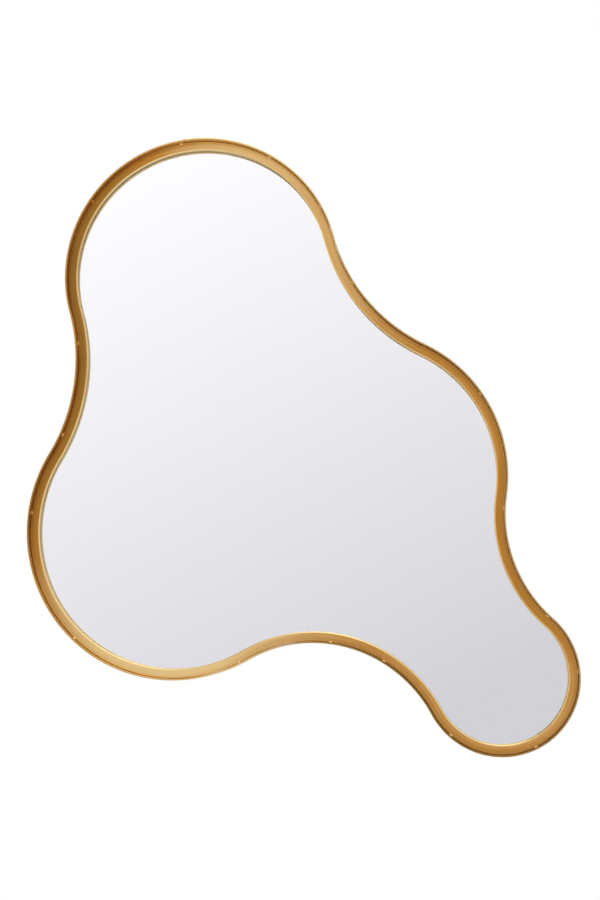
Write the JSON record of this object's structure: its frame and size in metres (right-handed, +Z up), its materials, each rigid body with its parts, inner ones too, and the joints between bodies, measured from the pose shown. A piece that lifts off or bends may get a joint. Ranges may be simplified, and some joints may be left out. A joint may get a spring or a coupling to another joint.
{
  "type": "irregular wall mirror",
  "caption": "Wall mirror with a free lobed outline in a welded gold-toned metal frame, with backing board, swinging ring hangers and wall bumpers.",
  "frame": {"origin": "middle of the outline's width and height on the wall plane, which is the plane of the four bumpers' flat ends", "axes": "+X to the viewer's right, +Y from the viewer to the wall, +Z up"},
  "size_m": [0.707, 0.034, 0.8],
  "materials": {
    "frame_gold": "satin antique gold plating on steel",
    "frame_weld": "weld metal under satin antique gold plating",
    "tab_gold": "antique gold plating, thinner at the back",
    "mirror": "clear float glass silvered at the back",
    "seat_foam": "black closed-cell foam",
    "foam_tape": "white double-sided foam tape",
    "board": "dark-faced medium density fibreboard",
    "bumper_rubber": "matt black rubber",
    "hanger_steel": "zinc-plated steel",
    "screw_steel": "zinc-plated steel"
  },
  "bodies": {
    "mirror": {"backing_board": "board", "board_tab_1": "tab_gold", "board_tab_10": "tab_gold", "board_tab_11": "tab_gold", "board_tab_12": "tab_gold", "board_tab_2": "tab_gold", "board_tab_3": "tab_gold", "board_tab_4": "tab_gold", "board_tab_5": "tab_gold", "board_tab_6": "tab_gold", "board_tab_7": "tab_gold", "board_tab_8": "tab_gold", "board_tab_9": "tab_gold", "board_tab_screws": "screw_steel", "bumper_screws": "screw_steel", "bumper_washers": "screw_steel", "face_bar": "frame_gold", "foam_tape_1": "foam_tape", "foam_tape_2": "foam_tape", "foam_tape_3": "foam_tape", "foam_tape_4": "foam_tape", "foam_tape_5": "foam_tape", "foam_tape_6": "foam_tape", "glass_seat_foam": "seat_foam", "hanger_screws": "screw_steel", "hanger_strap_left": "hanger_steel", "hanger_strap_right": "hanger_steel", "mirror_glass": "mirror", "outer_band": "frame_gold", "outer_band_closing_weld": "frame_weld", "tack_welds": "frame_weld", "wall_bumper_1": "bumper_rubber", "wall_bumper_2": "bumper_rubber", "wall_bumper_3": "bumper_rubber", "wall_bumper_4": "bumper_rubber"},
    "left_ring": {"hanger_ring_left": "hanger_steel"},
    "right_ring": {"hanger_ring_right": "hanger_steel"}
  },
  "joints": [
    {"name": "left_ring_swing", "type": "hinge", "parent": "mirror", "child": "left_ring", "pos_m": [-0.15954, -0.0049, 0.09229], "axis": [1, 0, 0], "range_deg": [0, 180]},
    {"name": "right_ring_swing", "type": "hinge", "parent": "mirror", "child": "right_ring", "pos_m": [0.09046, -0.0049, 0.09229], "axis": [1, 0, 0], "range_deg": [0, 180]}
  ]
}
